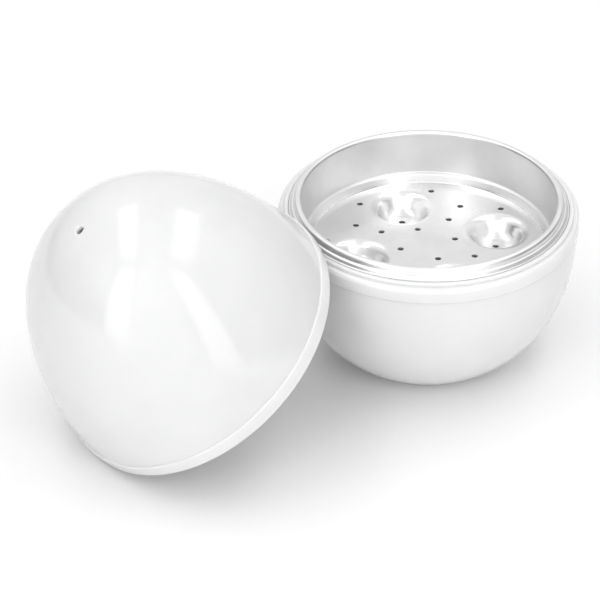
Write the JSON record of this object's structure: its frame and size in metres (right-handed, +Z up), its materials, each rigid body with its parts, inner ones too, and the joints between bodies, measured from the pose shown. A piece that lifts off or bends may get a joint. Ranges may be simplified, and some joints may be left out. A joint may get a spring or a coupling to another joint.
{
  "type": "egg cooker",
  "caption": "Egg-shaped microwave egg cooker: a white water bowl with a drawn aluminium egg tray in it, and a domed lid with an aluminium liner, taken off and leaning on the bowl.",
  "frame": {"origin": "centre of the bowl's flat foot, on the table", "axes": "+Z up along the bowl's axis; +X to the right and +Y away from someone who has the leaning lid on the left and in front"},
  "size_m": [0.2664, 0.2128, 0.1359],
  "materials": {
    "white_bowl": "polished white polypropylene",
    "drawn_tray": "bright drawn sheet",
    "white_lid": "polished white polypropylene",
    "spun_liner": "satin spun sheet"
  },
  "bodies": {
    "bowl": {"base_bowl": "white_bowl"},
    "tray": {"egg_tray": "drawn_tray"},
    "lid": {"lid_shell": "white_lid", "lid_liner": "spun_liner"}
  },
  "joints": [
    {"name": "tray_lift", "type": "slide", "parent": "bowl", "child": "tray", "axis": [0, 0, 1], "range_m": [0, 0.09]},
    {"name": "lid_lift", "type": "slide", "parent": "bowl", "child": "lid", "axis": [0, 0, 1], "range_m": [0, 0.1]}
  ]
}
